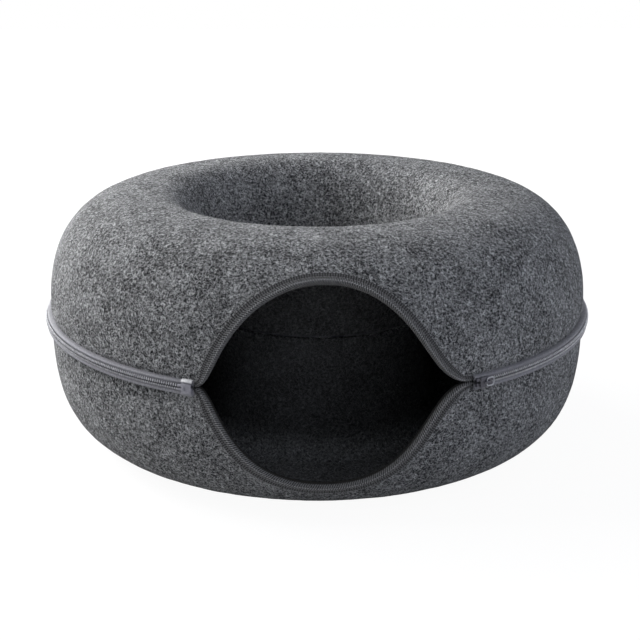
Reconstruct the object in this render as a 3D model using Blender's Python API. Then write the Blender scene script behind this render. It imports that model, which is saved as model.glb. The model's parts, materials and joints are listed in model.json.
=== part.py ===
# Donut cat tunnel: two felt half-rings, joined by a zip round the outside and one round the hole.
# Metres, +Z up. The mouth faces -Y, and angles run from the front (-Y) towards +X.

import math

import bmesh
import bpy
from mathutils import Matrix, Vector

# Felt ring, measured from the joint between the halves
RING_RADIUS = 0.250
HOLE_RADIUS = 0.1076
CREST_RADIUS = 0.1575
CREST_HEIGHT = 0.1092
BASE_DEPTH = 0.1167
BASE_OUTER_RADIUS = 0.1495
BASE_INNER_RADIUS = 0.1330
FELT_THICKNESS = 0.0045

# Powers of the superellipse quarters that the moulded felt follows
CREST_OUTER_POWER = 2.54
BASE_OUTER_POWER = 3.21
HOLE_POWER = 2.75

# Mouth: arc reaches along the felt from the front to each corner, and heights from the joint
MOUTH_LEFT_REACH = 0.1047
MOUTH_RIGHT_REACH = 0.1217
MOUTH_RISE = 0.0857
MOUTH_DROP = 0.0834
MOUTH_CROWN_REACH = 0.0833
MOUTH_LEFT_FLANK_REACH = 0.0888
MOUTH_RIGHT_FLANK_REACH = 0.0779

# Binding tape folded over the mouth's edge
BINDING_THICKNESS = 0.0010
BINDING_OUTER_WIDTH = 0.0075
BINDING_INNER_WIDTH = 0.0070
BINDING_END_WIDTH = 0.0030
BINDING_TAPER_REACH = 0.022
BINDING_INNER_GAP = 0.0008
BINDING_PARTING = 0.0004

# General clearance between touching pieces
FIT = 0.0003

# Zip: distances out from the felt, and half-heights from the chain's middle
SLIDER_FELT_GAP = 0.0004
SLIDER_BACK_PLATE = 0.0008
SLIDER_FRONT_PLATE = 0.0010
SLIDER_TAPE_GAP = 0.0009
SLIDER_COIL_GAP = 0.0006
SLIDER_LENGTH = 0.0110
SLIDER_HALF_WIDTH = 0.0042
SLIDER_TAIL_HALF_WIDTH = 0.0034
SLIDER_POST_LENGTH = 0.0030
TAPE_THICKNESS = 0.0008
TAPE_PROUD = 0.0047
TAPE_HALF_HEIGHT = 0.0066
TAPE_CORNER_GAP = 0.0006
CHAIN_HALF_GAP = 0.0006
COIL_THICKNESS = 0.0020
COIL_HALF_WIDTH = 0.0031
COIL_CHAMFER = 0.0004
STOP_LENGTH = 0.0025
STOP_HALF_WIDTH = 0.0036
STOP_INSET = 0.0010
STOP_EXTRA = 0.0003
BOX_LENGTH = 0.0085
BOX_INSET = 0.0003
BOX_FRONT_PLATE = 0.0008
BOX_RECESS = 0.0034
BOX_RECESS_DEPTH = 0.0004
PIN_LENGTH = 0.0040
PIN_HALF_WIDTH = 0.0024
PIN_CLEARANCE = 0.0004
PIN_END_INSET = 0.0010
FILM_LENGTH = 0.0095
FILM_THICKNESS = 0.0003

# Crown on the slider, and the short loop pull that hangs in it
CROWN_LENGTH = 0.0061
CROWN_WIDTH = 0.0020
CROWN_LEG = 0.0009
CROWN_TOP = 0.0008
CROWN_CLEAR_HEIGHT = 0.0014
PULL_WIRE = 0.0008
PULL_LENGTH = 0.0068
PULL_HALF_WIDTH = 0.0025
PULL_CORNER = 0.0014

# The inner zip's two ends meet at the front of the hole, this far from its front line
INNER_ZIP_END_REACH = 0.0055

# Counts and steps of the facets
GRID_STEP = math.radians(7.5)
GRID_CLEAR_SHARE = 0.001
MOUTH_SIDE_STEPS = 15
OUTER_STEPS = 8
HOLE_STEPS = 6
CORNER_STEPS = 3
PROFILE_SAMPLES = 240

# Rounded edge of the tape past the slider: shares of its proud height and of its remaining width
TAPE_EDGE_SHARES = ((0.94, 0.04), (1.00, 0.30), (0.84, 0.72), (0.45, 0.98))
TAPE_FOOT_SHARE = 0.94
TAPE_HEEL_SHARE = 0.12

# Fold of the binding past the felt's edge: shares of its thickness and gap
BINDING_SHOULDER_SHARE = 0.55
SMOOTH_ANGLE = math.radians(35)


# Sizes worked out from the ones above
RIM_HEIGHT = FIT + BINDING_THICKNESS + BINDING_PARTING / 2
PLATE_TO = SLIDER_FELT_GAP + SLIDER_BACK_PLATE
WEB_FROM = PLATE_TO + SLIDER_TAPE_GAP
WEB_TO = WEB_FROM + TAPE_THICKNESS
COIL_FROM = WEB_TO + FIT
COIL_TO = COIL_FROM + COIL_THICKNESS
FRONT_FROM = COIL_TO + SLIDER_COIL_GAP
FRONT_TO = FRONT_FROM + SLIDER_FRONT_PLATE
BOX_TO = COIL_TO + FIT + BOX_FRONT_PLATE
WEB_HALF_HEIGHT = SLIDER_HALF_WIDTH + PIN_CLEARANCE
LEFT_CORNER = -MOUTH_LEFT_REACH / RING_RADIUS
RIGHT_CORNER = MOUTH_RIGHT_REACH / RING_RADIUS
FULL_TURN = 2 * math.pi


def clear_scene():
    for old in list(bpy.data.objects):
        bpy.data.objects.remove(old, do_unlink=True)


def plain_material(name, colour, roughness, metallic=0.0):
    material = bpy.data.materials.new(name)
    material.use_nodes = True
    shader = material.node_tree.nodes["Principled BSDF"]
    shader.inputs["Base Color"].default_value = (*colour, 1.0)
    shader.inputs["Roughness"].default_value = roughness
    shader.inputs["Metallic"].default_value = metallic
    material.diffuse_color = (*colour, 1.0)
    return material


# Mesh helpers

def add_object(name, shape, material, origin=Vector()):
    bmesh.ops.recalc_face_normals(shape, faces=shape.faces)
    bmesh.ops.translate(shape, verts=shape.verts, vec=-origin)
    mesh = bpy.data.meshes.new(name)
    shape.to_mesh(mesh)
    shape.free()
    mesh.shade_smooth()
    mesh.set_sharp_from_angle(angle=SMOOTH_ANGLE)
    piece = bpy.data.objects.new(name, mesh)
    piece.location = origin
    piece.data.materials.append(material)
    bpy.context.scene.collection.objects.link(piece)
    return piece


def loft(rings, closed):
    """Quads between neighbouring rings of points; an open loft gets an end face at each end."""
    shape = bmesh.new()
    loops = [[shape.verts.new(point) for point in ring] for ring in rings]
    count = len(loops[0])
    last = len(loops) if closed else len(loops) - 1
    for index in range(last):
        here = loops[index]
        there = loops[(index + 1) % len(loops)]
        for side in range(count):
            after = (side + 1) % count
            shape.faces.new((here[side], here[after], there[after], there[side]))
    if not closed:
        shape.faces.new(loops[0])
        shape.faces.new(loops[-1])
    return shape


def prism(outline, low, high, depth_axis):
    """An outline in the other two axes, extruded between two places on one axis."""
    order = {"x": (2, 0, 1), "y": (0, 2, 1), "z": (0, 1, 2)}[depth_axis]
    rings = []
    for depth in (low, high):
        points = [(first, second, depth) for first, second in outline]
        rings.append([Vector([point[place] for place in order]) for point in points])
    return loft(rings, False)


def rectangle(low_first, high_first, low_second, high_second):
    return [(low_first, low_second), (high_first, low_second),
            (high_first, high_second), (low_first, high_second)]


def join_shapes(shapes, difference=()):
    """Union of closed shapes, then cuts, as one closed mesh."""
    base = helper_object(shapes[0])
    for shape, operation in [(s, "UNION") for s in shapes[1:]] + [(s, "DIFFERENCE") for s in difference]:
        tool = helper_object(shape)
        modifier = base.modifiers.new("cut", "BOOLEAN")
        modifier.operation = operation
        modifier.object = tool
        evaluated = base.evaluated_get(bpy.context.evaluated_depsgraph_get())
        result = bpy.data.meshes.new_from_object(evaluated)
        base.modifiers.clear()
        base.data = result
        bpy.data.objects.remove(tool, do_unlink=True)
    joined = bmesh.new()
    joined.from_mesh(base.data)
    bpy.data.objects.remove(base, do_unlink=True)
    return joined


def helper_object(shape):
    bmesh.ops.recalc_face_normals(shape, faces=shape.faces)
    mesh = bpy.data.meshes.new("helper")
    shape.to_mesh(mesh)
    shape.free()
    helper = bpy.data.objects.new("helper", mesh)
    bpy.context.scene.collection.objects.link(helper)
    return helper


# Places on the ring

def ring_point(radius, angle, height):
    return Vector((radius * math.sin(angle), -radius * math.cos(angle), height))


def sweep_angles(start, end):
    """The start, the ring's regular steps between, and the end."""
    clear = GRID_STEP * GRID_CLEAR_SHARE
    first = math.ceil((start + clear) / GRID_STEP)
    last = math.floor((end - clear) / GRID_STEP)
    return [start] + [step * GRID_STEP for step in range(first, last + 1)] + [end]


def quarter(equator_radius, crest_radius, crest_height, power):
    """Points of a superellipse quarter from the joint to the crest, as radius and height."""
    points = []
    for sample in range(PROFILE_SAMPLES + 1):
        turn = math.pi / 2 * sample / PROFILE_SAMPLES
        across = max(math.cos(turn), 0.0)
        up = math.sin(turn)
        scale = (across ** power + up ** power) ** (-1 / power)
        points.append(Vector((crest_radius + (equator_radius - crest_radius) * across * scale,
                              crest_height * up * scale)))
    return points


class Profile:
    """Outer surface of one felt half in section, measured by length from the outer joint."""

    def __init__(self, sign, crest_height, outer_crest, inner_crest, outer_power):
        outer = quarter(RING_RADIUS, outer_crest, crest_height, outer_power)
        hole = quarter(HOLE_RADIUS, inner_crest, crest_height, HOLE_POWER)
        flat = [] if outer_crest == inner_crest else [hole[-1]]
        self.points = outer + flat + hole[-2::-1]
        self.sign = sign
        self.lengths = [0.0]
        for before, after in zip(self.points, self.points[1:]):
            self.lengths.append(self.lengths[-1] + (after - before).length)
        self.crest = self.lengths[len(outer) - 1]
        self.hole_crest = self.lengths[len(outer) - 1 + len(flat)]
        self.end = self.length_at_height(RIM_HEIGHT, from_hole=True)

    def place(self, length):
        """Radius and height at a length, with the outward normal and the way of rising length."""
        index = 0
        low, high = 0, len(self.lengths) - 2
        while low <= high:
            index = (low + high) // 2
            if self.lengths[index + 1] < length:
                low = index + 1
            elif self.lengths[index] > length:
                high = index - 1
            else:
                break
        before, after = self.points[index], self.points[index + 1]
        along = (after - before).normalized()
        spot = before + along * (length - self.lengths[index])
        normal = Vector((along.y, -along.x))
        flip = Vector((1.0, self.sign))
        return spot * flip, normal * flip, along * flip

    def length_at_height(self, height, from_hole=False):
        """Length where the surface passes a height, on the outer side or on the hole's side."""
        steps = range(len(self.points) - 1)
        for index in (reversed(steps) if from_hole else steps):
            low, high = sorted((self.points[index].y, self.points[index + 1].y))
            if low <= height <= high and high > low:
                share = (height - self.points[index].y) / (self.points[index + 1].y - self.points[index].y)
                return self.lengths[index] + share * (self.lengths[index + 1] - self.lengths[index])
        return self.lengths[-1] if from_hole else 0.0


# Mouth

def bezier(points, share):
    rest = 1 - share
    weights = (rest ** 3, 3 * rest ** 2 * share, 3 * rest * share ** 2, share ** 3)
    return sum((Vector(point) * weight for point, weight in zip(points, weights)), Vector((0.0, 0.0)))


def mouth_edge(crown_height):
    """Arc and height of the mouth's edge from the left corner over the crown to the right corner."""
    edge = []
    for side, flank, corner in ((-1, MOUTH_LEFT_FLANK_REACH, MOUTH_LEFT_REACH),
                                (1, MOUTH_RIGHT_FLANK_REACH, MOUTH_RIGHT_REACH)):
        handles = ((0.0, crown_height), (side * MOUTH_CROWN_REACH, crown_height),
                   (side * flank, RIM_HEIGHT), (side * corner, RIM_HEIGHT))
        half = [bezier(handles, step / MOUTH_SIDE_STEPS) for step in range(MOUTH_SIDE_STEPS + 1)]
        edge = half[::-1] if side < 0 else edge + half[1:]
    return edge


def felt_shell(name, profile, crown_height, material):
    edge = [(spot.x / RING_RADIUS, profile.length_at_height(spot.y)) for spot in mouth_edge(crown_height)]
    rim = profile.length_at_height(RIM_HEIGHT)
    around = sweep_angles(RIGHT_CORNER, FULL_TURN + LEFT_CORNER)[1:-1]
    stations = edge + [(angle, rim) for angle in around]
    rings = []
    for angle, start in stations:
        lengths = [start + (profile.crest - start) * step / OUTER_STEPS for step in range(OUTER_STEPS + 1)]
        hole = profile.end - profile.hole_crest
        first = 0 if profile.hole_crest > profile.crest else 1
        lengths += [profile.hole_crest + hole * step / HOLE_STEPS for step in range(first, HOLE_STEPS + 1)]
        outside = []
        inside = []
        for length in lengths:
            spot, normal, _ = profile.place(length)
            back = spot - normal * FELT_THICKNESS
            outside.append(ring_point(spot.x, angle, spot.y))
            inside.append(ring_point(back.x, angle, back.y))
        rings.append(outside + inside[::-1])
    return add_object(name, loft(rings, True), material)


def binding_section(width):
    """Folded tape in section: distance into the felt from its edge, and height over its face."""
    back = -FELT_THICKNESS - BINDING_INNER_GAP
    fold = -FIT - BINDING_THICKNESS
    shoulder = fold * BINDING_SHOULDER_SHARE
    top = FIT + BINDING_THICKNESS
    inner = min(BINDING_INNER_WIDTH, width)
    return [(width, top), (0.0, top), (shoulder, top * BINDING_SHOULDER_SHARE), (fold, 0.0),
            (fold, back), (shoulder, back - BINDING_THICKNESS * BINDING_SHOULDER_SHARE),
            (0.0, back - BINDING_THICKNESS), (inner, back - BINDING_THICKNESS), (inner, back),
            (-FIT, back), (-FIT, FIT), (width, FIT)]


def opening_binding(name, profile, crown_height, material):
    edge = mouth_edge(crown_height)
    spots = [(spot.x / RING_RADIUS, profile.length_at_height(spot.y)) for spot in edge]
    places = [profile.place(length) for _, length in spots]
    points = [ring_point(place[0].x, angle, place[0].y) for (angle, _), place in zip(spots, places)]
    travelled = [0.0]
    for before, after in zip(points, points[1:]):
        travelled.append(travelled[-1] + (after - before).length)
    rings = []
    for index, ((angle, length), (spot, normal, along)) in enumerate(zip(spots, places)):
        ahead = points[min(index + 1, len(points) - 1)] - points[max(index - 1, 0)]
        out = ring_point(normal.x, angle, normal.y)
        up = ring_point(along.x, angle, along.y)
        across = Vector((math.cos(angle), math.sin(angle), 0.0))
        inward = out.cross(ahead).normalized()
        if inward.dot(up) < 0:
            inward = -inward
        to_end = min(travelled[index], travelled[-1] - travelled[index])
        taper = min(to_end / BINDING_TAPER_REACH, 1.0)
        width = BINDING_END_WIDTH + (BINDING_OUTER_WIDTH - BINDING_END_WIDTH) * taper
        ring = []
        for distance, lift in binding_section(width):
            turned = angle + inward.dot(across) * distance / spot.x
            there, there_normal, _ = profile.place(length + inward.dot(up) * distance)
            lifted = there + there_normal * lift
            ring.append(ring_point(lifted.x, turned, lifted.y))
        rings.append(ring)
    return add_object(name, loft(rings, False), material)


# Zips. A zip's start is its closed end with the stops, and its end is the box.

class Zip:
    def __init__(self, name, radius, side, start, end):
        self.name = name
        self.radius = radius
        self.side = side
        self.start = start
        self.end = end
        self.arc_radius = min(radius, radius + side * COIL_TO)

    def place(self, angle, out, height):
        return ring_point(self.radius + self.side * out, angle, height)

    def angle(self, arc):
        """Angle at an arc from the closed end, or from the box end if the arc is negative."""
        return (self.start if arc >= 0 else self.end) + arc / self.arc_radius

    def frame(self, angle):
        """Matrix from a block's own axes (along the zip, out from the felt, up) to the ring."""
        out = ring_point(self.side, angle, 0.0)
        along = Vector((math.cos(angle), math.sin(angle), 0.0))
        turn = Matrix((along, out, (0, 0, 1))).transposed().to_4x4()
        return Matrix.Translation(ring_point(self.radius, angle, 0.0)) @ turn


def bent(line, section, sign, start, end):
    """A section swept along the zip between two angles."""
    return loft([[line.place(angle, out, sign * height) for out, height in section]
                 for angle in sweep_angles(start, end)], False)


def placed(line, shape, angle):
    """A straight block, turned and moved to its angle on the zip."""
    bmesh.ops.transform(shape, matrix=line.frame(angle), verts=shape.verts)
    return shape


def tape_edge():
    spare = TAPE_HALF_HEIGHT - WEB_HALF_HEIGHT
    return [(TAPE_PROUD * out, WEB_HALF_HEIGHT + spare * up) for out, up in TAPE_EDGE_SHARES]


def tape_section():
    spare = TAPE_HALF_HEIGHT - WEB_HALF_HEIGHT
    foot = [(FIT, WEB_HALF_HEIGHT + spare * share) for share in (TAPE_FOOT_SHARE, TAPE_HEEL_SHARE)]
    web = [(WEB_FROM, CHAIN_HALF_GAP), (WEB_TO, CHAIN_HALF_GAP), (WEB_TO, WEB_HALF_HEIGHT)]
    return web + tape_edge() + foot + [(WEB_FROM, WEB_HALF_HEIGHT)]


def coil_section():
    return [(COIL_FROM, CHAIN_HALF_GAP), (COIL_TO - COIL_CHAMFER, CHAIN_HALF_GAP),
            (COIL_TO, CHAIN_HALF_GAP + COIL_CHAMFER), (COIL_TO, COIL_HALF_WIDTH - COIL_CHAMFER),
            (COIL_TO - COIL_CHAMFER, COIL_HALF_WIDTH), (COIL_FROM, COIL_HALF_WIDTH)]


def film_section():
    """A thin sheet over the rounded edge of the tape."""
    near = []
    far = []
    edge = [Vector(point) for point in tape_edge()]
    for index, point in enumerate(edge):
        along = edge[min(index + 1, len(edge) - 1)] - edge[max(index - 1, 0)]
        normal = Vector((along.y, -along.x)).normalized()
        near.append(tuple(point + normal * FIT))
        far.append(tuple(point + normal * (FIT + FILM_THICKNESS)))
    return near + far[::-1]


def slider_shape():
    half = SLIDER_LENGTH / 2
    plate = [(-half, -SLIDER_HALF_WIDTH), (0.0, -SLIDER_HALF_WIDTH), (half, -SLIDER_TAIL_HALF_WIDTH),
             (half, SLIDER_TAIL_HALF_WIDTH), (0.0, SLIDER_HALF_WIDTH), (-half, SLIDER_HALF_WIDTH)]
    post_half = CHAIN_HALF_GAP - FIT
    post = rectangle(-half, -half + SLIDER_POST_LENGTH, -post_half, post_half)
    overlap = SLIDER_BACK_PLATE / 2
    crown_low = FRONT_TO - overlap
    arch_top = FRONT_TO + CROWN_CLEAR_HEIGHT
    crown_end = CROWN_LENGTH / 2
    leg_end = crown_end - CROWN_LEG
    arch = [(-crown_end, crown_low), (-leg_end, crown_low), (-leg_end, arch_top), (leg_end, arch_top),
            (leg_end, crown_low), (crown_end, crown_low), (crown_end, arch_top),
            (leg_end, arch_top + CROWN_TOP), (-leg_end, arch_top + CROWN_TOP), (-crown_end, arch_top)]
    return join_shapes([
        prism(plate, FRONT_FROM, FRONT_TO, "y"),
        prism(plate, SLIDER_FELT_GAP, PLATE_TO, "y"),
        prism(post, PLATE_TO - overlap, FRONT_FROM + overlap, "y"),
        prism(arch, -CROWN_WIDTH / 2, CROWN_WIDTH / 2, "z"),
    ])


def pull_shape():
    """A wire loop: its bar lies in the crown, and the loop reaches back over the closed chain."""
    middle = FRONT_TO + CROWN_CLEAR_HEIGHT / 2
    half = PULL_WIRE / 2
    path = []
    corners = ((PULL_LENGTH, PULL_HALF_WIDTH, 0.0), (0.0, PULL_HALF_WIDTH, math.pi / 2),
               (0.0, -PULL_HALF_WIDTH, math.pi), (PULL_LENGTH, -PULL_HALF_WIDTH, 1.5 * math.pi))
    for along, up, first in corners:
        centre = Vector((along - math.copysign(PULL_CORNER, along - half),
                         up - math.copysign(PULL_CORNER, up)))
        for step in range(CORNER_STEPS + 1):
            turn = first + math.pi / 2 * step / CORNER_STEPS
            outward = Vector((math.cos(turn), math.sin(turn)))
            path.append((centre + outward * PULL_CORNER, outward))
    rings = []
    for spot, outward in path:
        ring = []
        for side, lift in ((-half, -half), (half, -half), (half, half), (-half, half)):
            place = spot + outward * side
            ring.append(Vector((place.x, middle + lift, place.y)))
        rings.append(ring)
    return loft(rings, True)


def box_shape(line):
    """Box moulded over the lower tape's end, open upwards for the loose pin, with its own pin."""
    front = COIL_TO + FIT
    side = [(COIL_FROM, -SLIDER_HALF_WIDTH), (BOX_TO, -SLIDER_HALF_WIDTH), (BOX_TO, SLIDER_HALF_WIDTH),
            (front, SLIDER_HALF_WIDTH), (front, CHAIN_HALF_GAP - FIT), (COIL_FROM, CHAIN_HALF_GAP - FIT)]
    pin = rectangle(COIL_FROM, COIL_TO, -PIN_HALF_WIDTH, -CHAIN_HALF_GAP)
    recess = rectangle(-BOX_RECESS / 2, BOX_RECESS / 2, -BOX_RECESS / 2, BOX_RECESS / 2)
    back = -BOX_INSET - BOX_LENGTH
    cut = prism(recess, BOX_TO - BOX_RECESS_DEPTH, BOX_TO + BOX_RECESS_DEPTH, "y")
    return join_shapes(
        [bent(line, side, 1, line.angle(back), line.angle(-BOX_INSET)),
         bent(line, pin, 1, line.angle(back - PIN_LENGTH), line.angle(back + BOX_LENGTH / 2))],
        [placed(line, cut, line.angle(back + BOX_LENGTH / 2))])


def build_zip(line, finishes):
    """Each half's tape, coil, film and stop, then the pin, the box, the slider and its pull."""
    coil_arc = STOP_INSET + STOP_LENGTH + FIT
    pin_arc = BOX_INSET + BOX_LENGTH + PIN_LENGTH
    stop = rectangle(COIL_FROM, COIL_TO + STOP_EXTRA, CHAIN_HALF_GAP, STOP_HALF_WIDTH)
    pin = rectangle(COIL_FROM, COIL_TO, CHAIN_HALF_GAP, PIN_HALF_WIDTH)
    stretches = [
        ("tape", tape_section(), line.start, line.end),
        ("coil", coil_section(), line.angle(coil_arc), line.angle(-pin_arc - FIT)),
        ("end_film", film_section(), line.angle(-FILM_LENGTH), line.end),
        ("stop", stop, line.angle(STOP_INSET), line.angle(STOP_INSET + STOP_LENGTH)),
    ]
    for half, sign in (("upper_", 1), ("lower_", -1)):
        for name, section, start, end in stretches:
            shape = bent(line, section, sign, start, end)
            add_object(line.name + half + name, shape, finishes[name])
    loose_pin = bent(line, pin, 1, line.angle(-pin_arc), line.angle(-BOX_INSET - PIN_END_INSET))
    add_object(line.name + "insertion_pin", loose_pin, finishes["box"])
    add_object(line.name + "retainer_box", box_shape(line), finishes["box"])
    angle = line.angle(coil_arc + SLIDER_LENGTH / 2)
    add_object(line.name + "slider", placed(line, slider_shape(), angle), finishes["slider"])
    hinge = line.place(angle, FRONT_TO + CROWN_CLEAR_HEIGHT / 2, 0.0)
    add_object(line.name + "pull_tab", placed(line, pull_shape(), angle), finishes["slider"], hinge)


def stand_on_origin():
    """Move the whole ring so that the middle of its footprint, at the base, is the origin."""
    bpy.context.view_layer.update()
    corners = [piece.matrix_world @ Vector(corner) for piece in bpy.data.objects for corner in piece.bound_box]
    low = [min(corner[axis] for corner in corners) for axis in range(3)]
    high = [max(corner[axis] for corner in corners) for axis in range(3)]
    shift = Vector((-(low[0] + high[0]) / 2, -(low[1] + high[1]) / 2, -low[2]))
    for piece in bpy.data.objects:
        piece.location += shift
    return shift


def build():
    clear_scene()
    felt = plain_material("felt", (0.105, 0.105, 0.108), 0.95)
    ribbed = plain_material("ribbed_binding", (0.075, 0.075, 0.080), 0.85)
    finishes = {
        "tape": plain_material("zip_tape", (0.200, 0.198, 0.225), 0.75),
        "coil": plain_material("zip_coil", (0.240, 0.238, 0.270), 0.45),
        "stop": plain_material("zip_stop", (0.240, 0.238, 0.270), 0.40),
        "end_film": plain_material("end_film", (0.640, 0.640, 0.650), 0.40),
        "slider": plain_material("zip_slider", (0.300, 0.300, 0.340), 0.40, 0.2),
        "box": plain_material("zip_box", (0.260, 0.255, 0.310), 0.45),
    }
    upper = Profile(1, CREST_HEIGHT, CREST_RADIUS, CREST_RADIUS, CREST_OUTER_POWER)
    lower = Profile(-1, BASE_DEPTH, BASE_OUTER_RADIUS, BASE_INNER_RADIUS, BASE_OUTER_POWER)
    felt_shell("upper_shell", upper, MOUTH_RISE, felt)
    felt_shell("lower_shell", lower, MOUTH_DROP, felt)
    opening_binding("upper_opening_binding", upper, MOUTH_RISE, ribbed)
    opening_binding("lower_opening_binding", lower, MOUTH_DROP, ribbed)
    corner_gap = TAPE_CORNER_GAP / RING_RADIUS
    build_zip(Zip("outer_zip_", RING_RADIUS, 1, RIGHT_CORNER + corner_gap,
                  FULL_TURN + LEFT_CORNER - corner_gap), finishes)
    inner_end = INNER_ZIP_END_REACH / HOLE_RADIUS
    build_zip(Zip("inner_zip_", HOLE_RADIUS, -1, inner_end, FULL_TURN - inner_end), finishes)
    return stand_on_origin()


build()
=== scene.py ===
import json
import math

import bpy
import numpy as np
from mathutils import Matrix, Vector


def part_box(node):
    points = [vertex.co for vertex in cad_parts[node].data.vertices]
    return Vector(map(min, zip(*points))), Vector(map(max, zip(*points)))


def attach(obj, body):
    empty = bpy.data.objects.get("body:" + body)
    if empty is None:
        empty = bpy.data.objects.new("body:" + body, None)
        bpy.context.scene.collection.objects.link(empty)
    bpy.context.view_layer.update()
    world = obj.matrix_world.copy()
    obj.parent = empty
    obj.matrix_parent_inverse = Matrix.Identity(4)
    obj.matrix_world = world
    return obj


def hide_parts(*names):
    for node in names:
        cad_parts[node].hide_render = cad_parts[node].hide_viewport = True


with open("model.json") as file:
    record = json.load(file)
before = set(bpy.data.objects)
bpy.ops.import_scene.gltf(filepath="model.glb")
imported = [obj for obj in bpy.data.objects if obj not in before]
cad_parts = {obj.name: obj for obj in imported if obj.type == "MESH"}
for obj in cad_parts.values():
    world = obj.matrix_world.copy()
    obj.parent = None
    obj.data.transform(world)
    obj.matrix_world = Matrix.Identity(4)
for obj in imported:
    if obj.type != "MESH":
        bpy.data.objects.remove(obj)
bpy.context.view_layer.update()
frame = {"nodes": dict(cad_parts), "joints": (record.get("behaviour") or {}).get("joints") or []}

axisSpot = Vector(next(j["pos_m"] for j in frame["joints"] if j["name"] == "outer_slider_run"))
fullTurn = 2 * math.pi

# The ring: the felt's outer face, whose angles run from the front (-Y) towards +X
ring = {
    "radius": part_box("upper_shell")[1].x,
    "holeRadius": 0.1076,
    "feltThickness": 0.0045,
    "rimHeight": 0.0015,             # where the felt stops, above or below the joint
    "leftCorner": -0.1047 / 0.250,   # the mouth's corners, as angles
    "rightCorner": 0.1217 / 0.250,
    "samples": 260,
}
halves = {
    "upper": {"sign": 1, "crest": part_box("upper_shell")[1].z - axisSpot.z, "outerCrest": 0.1575,
              "holeCrest": 0.1575, "outerPower": 2.54, "holePower": 2.75, "crown": 0.0857},
    "lower": {"sign": -1, "crest": axisSpot.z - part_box("lower_shell")[0].z, "outerCrest": 0.1495,
              "holeCrest": 0.1330, "outerPower": 3.21, "holePower": 2.75, "crown": 0.0834},
}
mouth = {"crownReach": 0.0833, "leftFlank": 0.0888, "rightFlank": 0.0779, "steps": 240}


# Working with objects

def deselectAll():
    if bpy.context.object and bpy.context.object.mode != "OBJECT":
        bpy.ops.object.mode_set(mode="OBJECT")
    bpy.ops.object.select_all(action="DESELECT")


def pick(piece):
    deselectAll()
    piece.select_set(True)
    bpy.context.view_layer.objects.active = piece
    return piece


def added(name):
    piece = bpy.context.object
    piece.name = name
    piece.data.name = name
    return piece


def applyModifier(piece, kind, **settings):
    modifier = piece.modifiers.new(kind.title(), kind)
    for setting, value in settings.items():
        setattr(modifier, setting, value)
    pick(piece)
    bpy.ops.object.modifier_apply(modifier=modifier.name)


def settleMesh(piece, merge=0.00002, recalculate=True):
    pick(piece)
    bpy.ops.object.mode_set(mode="EDIT")
    bpy.ops.mesh.select_all(action="SELECT")
    bpy.ops.mesh.remove_doubles(threshold=merge)
    if recalculate:
        bpy.ops.mesh.normals_make_consistent(inside=False)
    bpy.ops.object.mode_set(mode="OBJECT")


def faceOut(piece, polygon, out):
    if polygon.normal.dot(out) < 0:
        pick(piece)
        bpy.ops.object.mode_set(mode="EDIT")
        bpy.ops.mesh.select_all(action="SELECT")
        bpy.ops.mesh.flip_normals()
        bpy.ops.object.mode_set(mode="OBJECT")


def smooth(piece, angle):
    pick(piece)
    bpy.ops.object.shade_smooth_by_angle(angle=math.radians(angle))


def dress(piece, body, material, slot, *nodes):
    if material:
        piece.data.materials.clear()
        piece.data.materials.append(material)
    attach(piece, body)
    if nodes:
        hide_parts(*nodes)
    return piece


def points(mesh):
    flat = np.empty(len(mesh.vertices) * 3)
    mesh.vertices.foreach_get("co", flat)
    return flat.reshape(-1, 3)


def selectPoints(piece, chosen):
    pick(piece)
    for parts in (piece.data.polygons, piece.data.edges):
        parts.foreach_set("select", np.zeros(len(parts), bool))
    piece.data.vertices.foreach_set("select", chosen)
    bpy.ops.object.mode_set(mode="EDIT")
    bpy.ops.mesh.select_mode(type="VERT")


def copiesAt(template, spots):
    # One piece made of copies of a small template, each laid by its own matrix
    copies = []
    for spot in spots:
        copy = bpy.data.objects.new(template.name, template.data.copy())
        copy.data.transform(spot)
        bpy.context.scene.collection.objects.link(copy)
        copies.append(copy)
    name = template.name
    bpy.data.objects.remove(template)
    deselectAll()
    for copy in copies:
        copy.select_set(True)
    bpy.context.view_layer.objects.active = copies[0]
    bpy.ops.object.join()
    return added(name)


# A strip starts as a flat grid, and each of its points is then laid in its place.
# Its UV map is in millimetres along and across it.

def strip(name, along, across, place, ruler):
    deselectAll()
    bpy.ops.mesh.primitive_grid_add(x_subdivisions=along, y_subdivisions=across, size=1)
    piece = added(name)
    mesh = piece.data
    flat = points(mesh)
    u, v = flat[:, 0] + 0.5, flat[:, 1] + 0.5
    mesh.vertices.foreach_set("co", place(u, v).ravel())
    corners = np.empty(len(mesh.loops), int)
    mesh.loops.foreach_get("vertex_index", corners)
    measured = np.stack(ruler(u, v), axis=1) * 1000
    mesh.uv_layers.active.data.foreach_set("uv", measured[corners].ravel())
    mesh.update()
    return piece


def smoothPath(spots, count, closed=False):
    knots = np.array(spots, float)
    if closed:
        knots = np.concatenate([knots, knots[:1]])
        padded = np.concatenate([knots[-2:-1], knots, knots[1:2]])
    else:
        padded = np.concatenate([2 * knots[:1] - knots[1:2], knots, 2 * knots[-1:] - knots[-2:-1]])
    place = np.linspace(0, len(knots) - 1, count)
    cell = np.minimum(place.astype(int), len(knots) - 2)
    t = (place - cell)[:, None]
    a, b, c, d = (padded[cell + step] for step in range(4))
    return b + 0.5 * t * (c - a + t * (2 * a - 5 * b + 4 * c - d + t * (3 * (b - c) + d - a)))


# Places on the ring

def ringPoint(radius, angle, height):
    return np.stack([axisSpot.x + radius * np.sin(angle), axisSpot.y - radius * np.cos(angle),
                     axisSpot.z + height + 0 * angle], axis=-1)


def quarter(equator, crest, height, power):
    turn = np.linspace(0, math.pi / 2, ring["samples"])
    across, up = np.maximum(np.cos(turn), 0), np.sin(turn)
    scale = (across ** power + up ** power) ** (-1 / power)
    return np.stack([crest + (equator - crest) * across * scale, height * up * scale], axis=1)


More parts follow.
